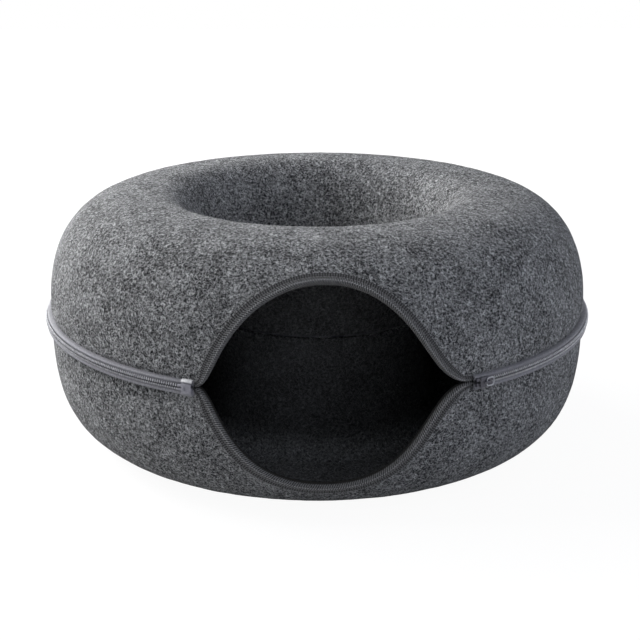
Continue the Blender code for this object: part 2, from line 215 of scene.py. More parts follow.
class Face:
    # One half's outer face in section, measured from the outer joint over the crest to the hole

    def __init__(self, half):
        outer = quarter(ring["radius"], half["outerCrest"], half["crest"], half["outerPower"])
        hole = quarter(ring["holeRadius"], half["holeCrest"], half["crest"], half["holePower"])[::-1]
        first = 0 if half["outerCrest"] > half["holeCrest"] else 1
        self.spots = np.concatenate([outer, hole[first:]])
        steps = np.diff(self.spots, axis=0)
        self.lengths = np.concatenate([[0], np.cumsum(np.hypot(*steps.T))])
        slope = np.gradient(self.spots, self.lengths, axis=0)
        self.slope = slope / np.hypot(*slope.T)[:, None]
        self.sign = half["sign"]
        self.crest = self.lengths[len(outer) - 1]
        self.outerHeights = outer[:, 1]
        self.end = np.interp(-ring["rimHeight"], -hole[:, 1], self.lengths[-len(hole):])
        self.edge = mouthEdge(half)

    def length(self, height):
        return np.interp(height, self.outerHeights, self.lengths[:len(self.outerHeights)])

    def place(self, angle, length, lift=0.0):
        radius, height, towards, rising = (np.interp(length, self.lengths, column) for column in
                                           (*self.spots.T, *self.slope.T))
        return ringPoint(radius + rising * lift, angle, self.sign * (height - towards * lift))

    def start(self, angle):
        arcs, heights = self.edge
        return self.length(np.interp(angle * ring["radius"], arcs, heights))


def mouthEdge(half):
    share = np.linspace(0, 1, mouth["steps"])[:, None]
    rest = 1 - share
    sides = []
    for side, flank, corner in ((-1, mouth["leftFlank"], ring["leftCorner"]),
                                (1, mouth["rightFlank"], ring["rightCorner"])):
        handles = ((0.0, half["crown"]), (side * mouth["crownReach"], half["crown"]),
                   (side * flank, ring["rimHeight"]), (corner * ring["radius"], ring["rimHeight"]))
        weights = (rest ** 3, 3 * rest ** 2 * share, 3 * rest * share ** 2, share ** 3)
        sides.append(sum(weight * np.array([handle]) for weight, handle in zip(weights, handles)))
    return np.concatenate([sides[0][::-1], sides[1][1:]]).T


faces = {name: Face(half) for name, half in halves.items()}


# Finishes. A wire is a socket that takes sums, so that shader maths reads as it would on numbers.

class Wire:
    def __init__(self, finish, socket):
        self.finish = finish
        self.socket = socket

    def sum(self, operation, first, second=0.0):
        return self.finish.node("ShaderNodeMath", {"operation": operation}, {0: first, 1: second})

    def __add__(self, other):
        return self.sum("ADD", self, other)

    def __sub__(self, other):
        return self.sum("SUBTRACT", self, other)

    def __rsub__(self, other):
        return self.sum("SUBTRACT", other, self)

    def __mul__(self, other):
        return self.sum("MULTIPLY", self, other)

    def __truediv__(self, other):
        return self.sum("DIVIDE", self, other)

    __radd__ = __add__
    __rmul__ = __mul__

    def larger(self, other):
        return self.sum("MAXIMUM", self, other)

    def smaller(self, other):
        return self.sum("MINIMUM", self, other)

    def wave(self):
        # Rises from 0 to 1 and falls again once for each whole number
        return self.sum("SINE", self * fullTurn) * 0.5 + 0.5

    def size(self):
        return self.sum("ABSOLUTE", self)

    def between(self, low, high):
        return self.finish.node("ShaderNodeMapRange", {"interpolation_type": "SMOOTHSTEP"},
                                {0: self, 1: low, 2: high, 3: 0.0, 4: 1.0})


class Finish:
    def __init__(self, name, roughness, **fixed):
        self.material = bpy.data.materials.new(name)
        self.material.use_nodes = True
        self.tree = self.material.node_tree
        self.shader = self.tree.nodes["Principled BSDF"]
        self.shader.inputs["Roughness"].default_value = roughness
        for socket, value in fixed.items():
            self.shader.inputs[socket.replace("_", " ")].default_value = value

    def node(self, kind, settings, sockets, output=0):
        made = self.tree.nodes.new(kind)
        for setting, value in settings.items():
            setattr(made, setting, value)
        for socket, value in sockets.items():
            self.feed(made.inputs[socket], value)
        return Wire(self, made.outputs[output])

    def feed(self, socket, value):
        if isinstance(value, Wire):
            self.tree.links.new(value.socket, socket)
        else:
            socket.default_value = value

    def spot(self, scale=1000.0):
        place = self.node("ShaderNodeTexCoord", {}, {}, "Object")
        return self.node("ShaderNodeVectorMath", {"operation": "SCALE"}, {0: place, 3: scale})

    def cloth(self):
        place = self.node("ShaderNodeUVMap", {}, {})
        along = self.node("ShaderNodeSeparateXYZ", {}, {0: place}, 0)
        return along, self.node("ShaderNodeSeparateXYZ", {}, {0: place}, 1)

    def noise(self, place, scale, detail, rough=0.5, output=0):
        return self.node("ShaderNodeTexNoise", {}, {"Vector": place, "Scale": scale, "Detail": detail,
                                                    "Roughness": rough}, output)

    def turned(self, place, shift, turn):
        return self.node("ShaderNodeMapping", {}, {0: place, 1: shift, 2: turn})

    def warped(self, place, scale, amount):
        blown = self.noise(place, scale, 1.0, 0.5, 1)
        centred = self.node("ShaderNodeVectorMath", {"operation": "SUBTRACT"}, {0: blown, 1: (0.5, 0.5, 0.5)})
        pushed = self.node("ShaderNodeVectorMath", {"operation": "SCALE"}, {0: centred, 3: amount})
        return self.node("ShaderNodeVectorMath", {"operation": "ADD"}, {0: place, 1: pushed})

    def mixed(self, factor, low, high):
        return self.node("ShaderNodeMix", {"data_type": "RGBA"},
                         {0: factor, 6: (*low, 1.0) if isinstance(low, tuple) else low,
                          7: (*high, 1.0) if isinstance(high, tuple) else high}, 2)

    def tinted(self, colour, tint):
        return self.node("ShaderNodeMix", {"data_type": "RGBA", "blend_type": "MULTIPLY"},
                         {0: 1.0, 6: colour, 7: tint}, 2)

    def paint(self, colour, height, depth, strength, roughness=None):
        self.feed(self.shader.inputs["Base Color"], colour)
        if roughness is not None:
            self.feed(self.shader.inputs["Roughness"], roughness)
        bump = self.node("ShaderNodeBump", {}, {"Strength": strength, "Distance": depth, "Height": height})
        self.feed(self.shader.inputs["Normal"], bump)
        return self.material


def lighter(colour, factor=1.3):
    return tuple(min(channel * factor, 1.0) for channel in colour)


# Patterns are in millimetres. The felt's inside has its pattern drawn in towards one tone, with painted light
# on the tunnel's floor and painted shade over it.
feltLook = {
    "dark": (0.022, 0.0225, 0.0235), "light": (0.90, 0.906, 0.918),
    "warpScale": 0.22, "warpReach": 2.2,
    "strand": 0.30, "strandWidth": 0.045, "gate": 0.24, "gateEdge": (0.46, 0.60),
    "turns": ((0.0, 0.1, 0.2), (0.6, 0.2, 1.3), (1.4, 0.5, 2.3), (0.2, 1.2, 0.7)),
    "turnShift": (11.3, 7.1, 5.7),
    "mottle": (0.52, 3.0, 0.82), "mottleEdge": (0.33, 0.69),
    "cloud": (0.035, 2.0), "cloudEdge": (0.3, 0.7),
    "strandShare": 0.52, "mottleShare": 0.54, "cloudShare": 0.10, "darker": 0.135,
    "strandRise": 0.5, "mottleRise": 0.8, "depth": 0.0007, "bump": 0.8,
    "calm": 0.24, "calmShare": 0.60, "floorPaintedLight": 1.5, "upperPaintedShade": 0.50, "floorReach": (6.0, 34.0),
}


def feltFinish(name, paintedInside=False):
    look = feltLook
    finish = Finish(name, 0.95, Specular_IOR_Level=0.12)
    place = finish.warped(finish.spot(), look["warpScale"], look["warpReach"])
    strands = None
    for index, turn in enumerate(look["turns"]):
        run = finish.turned(place, tuple(index * part for part in look["turnShift"]), turn)
        line = (finish.noise(run, look["strand"], 0.0) - 0.5).size().between(0.0, look["strandWidth"])
        strand = (1 - line) * finish.noise(run, look["gate"], 0.0).between(*look["gateEdge"])
        strands = strand if strands is None else strands.larger(strand)
    mottle = finish.noise(place, *look["mottle"]).between(*look["mottleEdge"])
    cloud = finish.noise(place, *look["cloud"]).between(*look["cloudEdge"])
    tone = strands * look["strandShare"] + mottle * look["mottleShare"] + cloud * look["cloudShare"]
    tone = tone - look["darker"]
    if paintedInside:
        tone = (tone - look["calm"]) * look["calmShare"] + look["calm"]
    colour = finish.mixed(tone, look["dark"], look["light"])
    # Painted light on the tunnel's floor and painted shade on the walls above it, set by height
    if paintedInside:
        above = finish.node("ShaderNodeSeparateXYZ", {}, {0: finish.spot()}, 2).between(*look["floorReach"])
        tint = finish.mixed(above, (look["floorPaintedLight"],) * 3, (look["upperPaintedShade"],) * 3)
        colour = finish.tinted(colour, tint)
    relief = strands * look["strandRise"] + mottle * look["mottleRise"]
    return finish.paint(colour, relief, look["depth"], look["bump"])


bindingLook = {
    "strip": (0.008, 0.008, 0.008), "rib": (0.20, 0.20, 0.205),
    "roll": (0.008, 0.008, 0.008), "rollLight": (0.32, 0.32, 0.325), "paintedShade": (0.008, 0.008, 0.008),
    "ribPitch": 1.9, "cordPitch": 1.6, "twillPitch": 3.4,
    "grain": (0.75, 2.0, 0.7), "grainEdge": (0.38, 0.64),
    "cordShare": 0.45, "weaveShare": 0.95, "stripGrain": 0.22, "stripDarker": 0.08,
    "twillShare": 0.80, "rollGrain": 0.34, "rollDarker": 0.14,
    "weaveRise": 0.8, "grainRise": 0.5, "depth": 0.0004, "bump": 0.7,
    "stripFrom": (2.6, 3.2), "paintedSlit": (3.0, 3.6, 4.4), "paintedSlitReach": (12.0, 80.0),
}


def bindingFinish(name, total, wallPaintedShade, paintedSlit):
    # Along is the travel from the left corner. Across is the distance into the felt, and below zero it runs
    # on over the fold and down the wall of the mouth, where the colour turns to painted shade.
    look = bindingLook
    finish = Finish(name, 0.8, Specular_IOR_Level=0.25)
    along, across = finish.cloth()
    ribs = (along / look["ribPitch"]).wave()
    cords = (across / look["cordPitch"]).wave()
    twill = (along / look["ribPitch"] + across / look["twillPitch"]).wave()
    weave = ribs * (cords * look["cordShare"] + (1 - look["cordShare"]))
    grain = finish.noise(finish.spot(), *look["grain"]).between(*look["grainEdge"])
    stripTone = weave * look["weaveShare"] + grain * look["stripGrain"] - look["stripDarker"]
    rollTone = twill * look["twillShare"] + grain * look["rollGrain"] - look["rollDarker"]
    strip = finish.mixed(stripTone, look["strip"], look["rib"])
    roll = finish.mixed(rollTone, look["roll"], look["rollLight"])
    face = finish.mixed(across.between(*look["stripFrom"]), roll, strip)
    # Down the wall of the mouth the binding is painted dark as shade
    colour = finish.mixed(1 - across.between(*wallPaintedShade), face, look["paintedShade"])
    if paintedSlit:
        # Towards the corners a dark slit of painted shade runs along the lower strip, where it would lift off
        # the roll
        first, middle, last = look["paintedSlit"]
        slit = across.between(first, middle) * (1 - across.between(middle, last))
        nearCorner = 1 - along.smaller(total - along).between(*look["paintedSlitReach"])
        colour = finish.mixed(slit * nearCorner, colour, look["paintedShade"])
    relief = weave * look["weaveRise"] + grain * look["grainRise"]
    return finish.paint(colour, relief, look["depth"], look["bump"])


zipLook = {
    "tape": (0.118, 0.117, 0.132), "tapeLight": (0.47, 0.467, 0.505), "paintedBedShade": (0.045, 0.045, 0.051),
    "paintedShade": (0.23, 0.228, 0.252), "paintedShadeSoft": (0.28, 0.278, 0.305), "paintedShadeFrom": (260.0, 620.0),
    "crossPitch": 0.9, "cordPitch": 0.75, "grain": (0.9, 3.0, 0.6), "grainEdge": (0.3, 0.75),
    "crossShare": 0.25, "cordShare": 0.2, "grainShare": 0.45, "bedEdge": (2.0, 2.6), "sunkEdge": (3.1, 3.8),
    "weaveRise": 0.5, "grainRise": 0.3, "depth": 0.0002, "bump": 0.5,
    "coil": (0.45, 0.447, 0.48), "coilLight": (0.76, 0.757, 0.80),
    "box": (0.25, 0.246, 0.285), "film": (0.66, 0.66, 0.67), "dullFilm": (0.24, 0.24, 0.265),
    "metal": (0.060, 0.059, 0.075), "pull": (0.60, 0.598, 0.63), "thread": (0.37, 0.37, 0.38),
    "darkThread": (0.26, 0.26, 0.27),
}


def tapeFinish():
    # Across runs round the section from the joint: first the bed of the coil, painted dark as shade behind
    # the teeth, then the groove in painted shade that is softer over the first part of each tape, then the
    # tape
    look = zipLook
    finish = Finish("zipTape", 0.65, Specular_IOR_Level=0.35)
    along, across = finish.cloth()
    cross = (along / look["crossPitch"]).wave()
    cords = (across / look["cordPitch"]).wave()
    grain = finish.noise(finish.spot(), *look["grain"]).between(*look["grainEdge"])
    tone = cross * look["crossShare"] + cords * look["cordShare"] + grain * look["grainShare"]
    woven = finish.mixed(tone, look["tape"], look["tapeLight"])
    # The groove gets painted shade, softer over the first part of each tape
    paintedShade = finish.mixed(along.between(*look["paintedShadeFrom"]), look["paintedShadeSoft"], look["paintedShade"])
    # Under the coil the tape is painted dark as the shade between the teeth
    paintedBedShade = finish.mixed(across.between(*look["bedEdge"]), look["paintedBedShade"], paintedShade)
    colour = finish.mixed(1 - across.between(*look["sunkEdge"]), woven, paintedBedShade)
    relief = (cross + cords) * look["weaveRise"] + grain * look["grainRise"]
    return finish.paint(colour, relief, look["depth"], look["bump"])


# Plain plastic, paint and thread: cloudy between two tones, and rougher where it is lighter
plainLook = {
    "scale": 0.5, "threadScale": 2.0, "detail": (3.0, 0.6), "wornEdge": (0.35, 0.7),
    "wornRough": 0.15, "evenRough": 0.07, "depth": 0.00006, "bump": 0.4,
}


def plainFinish(name, low, high, roughness, metallic=0.0, scale=plainLook["scale"], **fixed):
    look = plainLook
    finish = Finish(name, roughness, Metallic=metallic, **fixed)
    cloud = finish.noise(finish.spot(), scale, *look["detail"])
    worn = cloud.between(*look["wornEdge"])
    return finish.paint(finish.mixed(worn, low, high), cloud, look["depth"], look["bump"],
                        worn * look["wornRough"] + (roughness - look["evenRough"]))


finishes = {
    "felt": feltFinish("heatherFelt"),
    "paintedInside": feltFinish("insideFeltPaintedLightAndShade", paintedInside=True),
    "tape": tapeFinish(),
    "coil": plainFinish("nylonCoil", zipLook["coil"], zipLook["coilLight"], 0.25, Specular_IOR_Level=0.9,
                        Coat_Weight=0.8, Coat_Roughness=0.18),
    "box": plainFinish("boxPlastic", zipLook["box"], lighter(zipLook["box"]), 0.35),
    "film": plainFinish("endFilm", zipLook["film"], lighter(zipLook["film"]), 0.35),
    "dullFilm": plainFinish("dullEndFilm", zipLook["dullFilm"], lighter(zipLook["dullFilm"]), 0.4),
    "pull": plainFinish("loopPull", zipLook["pull"], lighter(zipLook["pull"]), 0.35),
    "slider": plainFinish("paintedSlider", zipLook["metal"], lighter(zipLook["metal"]), 0.35, 0.3),
    "thread": plainFinish("sewingThread", zipLook["thread"], lighter(zipLook["thread"], 1.5), 0.65,
                          scale=plainLook["threadScale"]),
    "darkThread": plainFinish("darkThread", zipLook["darkThread"], lighter(zipLook["darkThread"]), 0.65,
                              scale=plainLook["threadScale"]),
}
print("finishes made")


# Felt halves

shellSettings = {
    "columns": 400, "leftColumn": 130, "rightColumn": 270, "rows": 94, "crestRow": 56, "rowGrowth": 1.6,
    "lump": 0.0009, "lumpSize": 0.022, "lumpDepth": 2, "calmEdge": 0.016, "calmBase": 0.004,
    "pinch": {"upper": {"depth": 0.0017, "middle": 0.0054, "reach": 0.0018},
              "lower": {"depth": 0.0012, "middle": 0.0078, "reach": 0.0026}},
    "pinchFade": 0.030, "smoothAngle": 60,
}


def feltHalf(name, half):
    face = faces[half]
    columns, rows = shellSettings["columns"], shellSettings["rows"]
    stops = [0, shellSettings["leftColumn"] / columns, shellSettings["rightColumn"] / columns, 1]
    angles = [-math.pi, ring["leftCorner"], ring["rightCorner"], math.pi]
    crestShare = shellSettings["crestRow"] / rows

    def lay(u, v):
        angle = np.interp(u, stops, angles)
        start = np.maximum(face.start(angle), face.length(ring["rimHeight"]))
        up = np.minimum(v / crestShare, 1) ** shellSettings["rowGrowth"]
        down = np.maximum((v - crestShare) / (1 - crestShare), 0)
        return angle, start + (face.crest - start) * up + (face.end - face.crest) * down, start

    def place(u, v):
        # The sewn zip tape pulls the felt in along its edge, except at the mouth
        angle, length, _ = lay(u, v)
        fromMouth = np.maximum(ring["leftCorner"] - angle, angle - ring["rightCorner"]) * ring["radius"]
        fade = np.clip(fromMouth / shellSettings["pinchFade"], 0, 1)
        pinch = shellSettings["pinch"][half]
        dip = pinch["depth"] * np.exp(-((length - pinch["middle"]) / pinch["reach"]) ** 2)
        return face.place(angle, length, -dip * fade)

    def ruler(u, v):
        angle, length, _ = lay(u, v)
        return angle * ring["radius"], length

    piece = strip(name, columns, rows, place, ruler)
    settleMesh(piece, recalculate=False)
    # The felt is a little uneven, but not at the joint or on its flat base
    heights = points(piece.data)[:, 2]
    edge, base = shellSettings["calmEdge"], shellSettings["calmBase"]
    lumpy = np.clip((np.abs(heights - axisSpot.z) - edge) / edge, 0, 1)
    lumpy *= np.clip((heights - base) / base, 0, 1)
    group = piece.vertex_groups.new(name="lumps")
    for index, weight in enumerate(lumpy):
        if weight > 0:
            group.add([index], float(weight), "REPLACE")
    texture = bpy.data.textures.new(name + "Lumps", "CLOUDS")
    texture.noise_scale = shellSettings["lumpSize"]
    texture.noise_depth = shellSettings["lumpDepth"]
    applyModifier(piece, "DISPLACE", texture=texture, texture_coords="LOCAL", mid_level=0.5,
                  strength=shellSettings["lump"], vertex_group="lumps")
    middle = piece.data.polygons[len(piece.data.polygons) // 2]
    faceOut(piece, middle, middle.center - axisSpot)
    piece.data.materials.append(finishes["felt"])
    # The felt's inside carries the painted light on the floor and the painted shade on the walls
    piece.data.materials.append(finishes["paintedInside"])
    applyModifier(piece, "SOLIDIFY", thickness=ring["feltThickness"], offset=-1.0, use_even_offset=True,
                  material_offset=1)
    smooth(piece, shellSettings["smoothAngle"])
    return dress(piece, half + "_half", None, "felt", half + "_shell")


for half in halves:
    feltHalf(half + "Felt", half)
print("felt halves made")


# Binding folded over the mouth's edge. Its section is given as distance into the felt and lift from its face.

bindingSettings = {
    "along": 460, "across": 44, "taperReach": 0.024, "endShare": 0.42, "thickness": 0.0006,
    "smoothAngle": 60,
    "section": [(7.5, 0.6), (7.2, 1.10), (6.4, 1.15), (5.0, 1.15), (3.8, 1.12), (3.3, 1.05), (2.9, 1.20),
                (2.2, 1.32), (1.3, 1.35), (0.3, 1.20), (-0.7, 0.75), (-1.2, -0.5), (-1.25, -2.8),
                (-1.1, -4.8), (-0.4, -5.6), (1.5, -5.8), (4.5, -5.7), (7.0, -5.6)],
    "wallPaintedShade": {"upper": (-7.5, -6.0), "lower": (-4.2, -2.2)},
    "zigzag": {"pitch": 0.00210, "distance": 0.0006, "lift": 0.00135, "length": 0.0017, "thick": 0.00040,
               "slant": math.radians(52)},
    "innerLine": {"pitch": 0.0028, "distance": 0.0033, "lift": 0.00110, "length": 0.0016, "thick": 0.00026,
                  "slant": 0.0},
    "outerLine": {"pitch": 0.0030, "distance": 0.0069, "lift": 0.00125, "length": 0.0020, "thick": 0.00030,
                  "slant": 0.0},
    "stitchClear": 0.006, "stitchSides": 6, "stitchRings": 4, "stitchSmooth": 80,
    "aheadProbe": 0.0003, "aboveProbe": 0.001, "upProbe": 0.0005,
}


class EdgeLine:
    # The mouth's edge on the felt, with the way into the felt at each place along it

    def __init__(self, face):
        self.face = face
        arcs, heights = face.edge
        self.angles = arcs / ring["radius"]
        self.starts = face.length(heights)
        spots = face.place(self.angles, self.starts)
        steps = np.linalg.norm(np.diff(spots, axis=0), axis=1)
        self.travel = np.concatenate([[0], np.cumsum(steps)])
        ahead = np.gradient(spots, axis=0)
        out = face.place(self.angles, self.starts, 1.0) - spots
        inward = np.cross(out, ahead)
        up = face.place(self.angles, self.starts + bindingSettings["upProbe"]) - spots
        up /= np.linalg.norm(up, axis=1)[:, None]
        inward /= np.linalg.norm(inward, axis=1)[:, None]
        inward *= np.sign((inward * up).sum(1))[:, None]
        across = np.stack([np.cos(self.angles), np.sin(self.angles), 0 * self.angles], axis=1)
        self.turn = (inward * across).sum(1)
        self.rise = (inward * up).sum(1)
        self.total = self.travel[-1]

    def place(self, travel, distance, lift):
        angle, start, turn, rise = (np.interp(travel, self.travel, column) for column in
                                    (self.angles, self.starts, self.turn, self.rise))
        radius = np.interp(start, self.face.lengths, self.face.spots[:, 0])
        length = start + rise * distance
        return self.face.place(angle + turn * distance / radius, np.maximum(length, 0), lift)

    def taper(self, travel):
        near = np.minimum(travel, self.total - travel) / bindingSettings["taperReach"]
        rest = np.clip(near, 0, 1)
        share = bindingSettings["endShare"]
        return share + (1 - share) * rest * rest * (3 - 2 * rest)


edges = {half: EdgeLine(faces[half]) for half in halves}


def mouthBinding(name, half):
    line = edges[half]
    path = smoothPath(bindingSettings["section"], bindingSettings["across"] + 1) / 1000

    def lay(u, v):
        travel = u * line.total
        distance, lift = (np.interp(v, np.linspace(0, 1, len(path)), column) for column in path.T)
        narrow = np.where(distance > 0, line.taper(travel), 1.0)
        return travel, distance, distance * narrow, lift

    def place(u, v):
        travel, _, distance, lift = lay(u, v)
        return line.place(travel, distance, lift)

    def ruler(u, v):
        travel, distance, _, lift = lay(u, v)
        return travel, distance + np.minimum(lift, 0)

    piece = strip(name, bindingSettings["along"], bindingSettings["across"], place, ruler)
    faceOut(piece, min(piece.data.polygons, key=lambda polygon: polygon.center.y), Vector((0, -1, 0)))
    applyModifier(piece, "SOLIDIFY", thickness=bindingSettings["thickness"], offset=-1.0)
    smooth(piece, bindingSettings["smoothAngle"])
    finish = bindingFinish(half + "BindingTape", line.total * 1000, bindingSettings["wallPaintedShade"][half],
                           half == "lower")
    return dress(piece, half + "_half", finish, "binding", half + "_opening_binding")


def stitchShape(name, length, thick):
    deselectAll()
    bpy.ops.mesh.primitive_uv_sphere_add(segments=bindingSettings["stitchSides"],
                                         ring_count=bindingSettings["stitchRings"], radius=1)
    stitch = added(name)
    bpy.ops.object.mode_set(mode="EDIT")
    bpy.ops.mesh.select_all(action="SELECT")
    bpy.ops.transform.resize(value=(length / 2, thick, thick))
    bpy.ops.object.mode_set(mode="OBJECT")
    smooth(stitch, bindingSettings["stitchSmooth"])
    return stitch


def bindingStitches(name, half, row, finish):
    line = edges[half]
    settings = bindingSettings[row]
    clear = bindingSettings["stitchClear"]
    probes = ((0.0, 0.0), (bindingSettings["aheadProbe"], 0.0), (0.0, bindingSettings["aboveProbe"]))
    spots = []
    for index in range(int((line.total - 2 * clear) / settings["pitch"])):
        travel = clear + (index + 0.5) * settings["pitch"]
        distance = settings["distance"] * float(line.taper(travel))
        middle, ahead, above = (Vector(line.place(travel + step, distance, settings["lift"] + rise))
                                for step, rise in probes)
        run = (ahead - middle).normalized()
        out = (above - middle).normalized()
        run = (run - out * run.dot(out)).normalized()
        turn = Matrix((run, out.cross(run), out)).transposed().to_4x4()
        slant = Matrix.Rotation(settings["slant"], 4, "Z")
        spots.append(Matrix.Translation(middle) @ turn @ slant)
    piece = copiesAt(stitchShape(name, settings["length"], settings["thick"]), spots)
    return dress(piece, half + "_half", finish, "binding")


for half in halves:
    mouthBinding(half + "MouthBinding", half)
    bindingStitches(half + "ZigzagStitches", half, "zigzag", finishes["thread"])
    bindingStitches(half + "InnerStitches", half, "innerLine", finishes["darkThread"])
    outerThread = finishes["thread" if half == "upper" else "darkThread"]
    bindingStitches(half + "OuterStitches", half, "outerLine", outerThread)
print("bindings made")


# Zips. A tape's section is in millimetres, out from the felt and up from the chain's middle.

zipSettings = {
    "upperSection": [(2.0, 0.6), (2.7, 0.6), (2.9, 1.6), (3.1, 2.8), (3.25, 3.2), (3.55, 3.45), (3.65, 3.8),
                     (3.4, 4.3), (2.8, 4.75), (2.0, 5.0), (1.0, 5.1), (0.0, 5.1), (-1.2, 4.95), (-1.6, 4.7),
                     (-0.6, 4.3), (0.6, 3.9), (1.8, 3.6), (2.0, 3.0)],
    "lowerSection": [(2.0, 0.6), (2.7, 0.6), (2.9, 1.6), (3.1, 2.8), (3.35, 3.3), (3.8, 3.7), (4.2, 4.2),
                     (4.4, 5.0), (4.2, 5.7), (3.6, 6.2), (2.8, 6.5), (1.6, 6.6), (0.4, 6.5), (0.2, 5.8),
                     (0.8, 4.9), (1.8, 4.2), (2.0, 3.0)],
    "tapeAcross": 68, "tapeStep": {1: math.radians(0.8), -1: math.radians(1.6)}, "endNear": 0.0001,
    "tapeSmooth": 60,
    "pitch": 0.00215, "arcLift": 0.0052, "firstTooth": 0.0038, "lastTooth": 0.0088, "toothSides": 8,
    "toothRings": 6, "toothLift": 0.0045, "toothLow": 0.00014, "toothHigh": 0.0028, "toothWidth": 0.00056,
    "toothDepth": 0.0006, "toothSmooth": 60, "shift": {1: 0.25, -1: 0.75}, "slant": math.radians(12),
    "tilt": math.radians(30),
    "threadHeight": 0.0031, "threadLift": 0.0032, "threadLength": 0.0016, "threadPitch": 0.0021,
    "threadThick": 0.00022, "threadSides": 6, "threadRings": 5,
    "merge": 0.00001, "flatAngle": math.radians(2), "bevelAngle": math.radians(35), "bevelSegments": 2,
    "softSmooth": 45, "softEdge": {"film": 0.0001, "stop": 0.0004, "box": 0.0003, "slider": 0.0003,
                                   "pull": 0.0002},
    "pullWidening": 1.35,
}
zips = {
    "outer": {"radius": ring["radius"], "side": 1, "from": ring["rightCorner"],
              "to": fullTurn + ring["leftCorner"], "clear": 0.0006, "tapeReach": 0.0},
    "inner": {"radius": ring["holeRadius"], "side": -1, "from": 0.0, "to": fullTurn, "clear": 0.0055,
              "tapeReach": 0.0045},
}
for line in zips.values():
    line["start"] = line["from"] + line["clear"] / line["radius"]
    line["end"] = line["to"] - line["clear"] / line["radius"]
    line["arcRadius"] = min(line["radius"], line["radius"] + line["side"] * zipSettings["arcLift"])


def zipTape(name, line, sign):
    section = zipSettings["upperSection" if sign > 0 else "lowerSection"]
    path = smoothPath(section, zipSettings["tapeAcross"] + 1, closed=True) / 1000
    reach = line["tapeReach"] / line["radius"]
    ends = line["start"] - reach, line["end"] + reach
    along = int((ends[1] - ends[0]) / zipSettings["tapeStep"][line["side"]])
    girth = np.concatenate([[0], np.cumsum(np.hypot(*np.diff(path, axis=0).T))])

    def place(u, v):
        out, height = (np.interp(v, np.linspace(0, 1, len(path)), column) for column in path.T)
        angle = ends[0] + u * (ends[1] - ends[0])
        return ringPoint(line["radius"] + line["side"] * out, angle, sign * height)

    def ruler(u, v):
        angle = ends[0] + u * (ends[1] - ends[0])
        return angle * line["radius"], np.interp(v, np.linspace(0, 1, len(path)), girth)

    piece = strip(name, along, zipSettings["tapeAcross"], place, ruler)
    settleMesh(piece, recalculate=False)
    for end in ends:
        # The flat end of the tape is closed
        spots = points(piece.data) - np.array(axisSpot)
        off = np.abs(np.arctan2(spots[:, 0], -spots[:, 1]) % fullTurn - end % fullTurn)
        selectPoints(piece, off < zipSettings["endNear"])
        bpy.ops.mesh.edge_face_add()
        bpy.ops.object.mode_set(mode="OBJECT")
    pick(piece)
    bpy.ops.object.mode_set(mode="EDIT")
    bpy.ops.mesh.select_all(action="SELECT")
    bpy.ops.mesh.normals_make_consistent(inside=False)
    bpy.ops.object.mode_set(mode="OBJECT")
    smooth(piece, zipSettings["tapeSmooth"])
    return piece


def ringOfCopies(piece, count, step):
    deselectAll()
    bpy.ops.object.empty_add(location=axisSpot)
    hub = bpy.context.object
    hub.rotation_euler.z = step
    piece.location = axisSpot
    piece.data.transform(Matrix.Translation(-axisSpot))
    bpy.context.view_layer.update()
    applyModifier(piece, "ARRAY", count=count, use_relative_offset=False, use_object_offset=True,
                  offset_object=hub)
    bpy.ops.object.transform_apply(location=True, rotation=True, scale=True)
    bpy.data.objects.remove(hub)
    return piece


def onZip(line, angle, out, height):
    spot = ringPoint(line["radius"] + line["side"] * out, angle, height)
    outward = Vector((math.sin(angle), -math.cos(angle), 0)) * line["side"]
    along = Vector((math.cos(angle), math.sin(angle), 0))
    turn = Matrix((along, outward, (0, 0, 1))).transposed().to_4x4()
    return Matrix.Translation(Vector(spot)) @ turn


def coilRow(name, line, sign):
    step = zipSettings["pitch"] / line["arcRadius"]
    start = line["start"] + zipSettings["firstTooth"] / line["arcRadius"]
    end = line["end"] - zipSettings["lastTooth"] / line["arcRadius"]
    low, high = zipSettings["toothLow"], zipSettings["toothHigh"]
    deselectAll()
    bpy.ops.mesh.primitive_uv_sphere_add(segments=zipSettings["toothSides"],
                                         ring_count=zipSettings["toothRings"], radius=1)
    tooth = added(name)
    bpy.ops.object.mode_set(mode="EDIT")
    bpy.ops.mesh.select_all(action="SELECT")
    bpy.ops.transform.resize(value=(zipSettings["toothWidth"], zipSettings["toothDepth"], (high - low) / 2))
    bpy.ops.object.mode_set(mode="OBJECT")
    lean = Matrix.Rotation(-sign * zipSettings["slant"], 4, "Y")
    tilt = Matrix.Rotation(sign * zipSettings["tilt"], 4, "X")
    spot = onZip(line, start + zipSettings["shift"][sign] * step, zipSettings["toothLift"],
                 sign * (high + low) / 2)
    tooth.data.transform(spot @ tilt @ lean)
    smooth(tooth, zipSettings["toothSmooth"])
    return ringOfCopies(tooth, int((end - start) / step), step)


def tapeStitches(name, line, sign):
    step = zipSettings["threadPitch"] / line["arcRadius"]
    thick = zipSettings["threadThick"]
    deselectAll()
    bpy.ops.mesh.primitive_uv_sphere_add(segments=zipSettings["threadSides"],
                                         ring_count=zipSettings["threadRings"], radius=1)
    stitch = added(name)
    stitch.data.transform(Matrix.Diagonal((zipSettings["threadLength"] / 2, thick, thick, 1)))
    stitch.data.transform(onZip(line, line["start"] + step, zipSettings["threadLift"],
                                sign * zipSettings["threadHeight"]))
    smooth(stitch, zipSettings["tapeSmooth"])
    return ringOfCopies(stitch, int((line["end"] - line["start"]) / step) - 1, step)


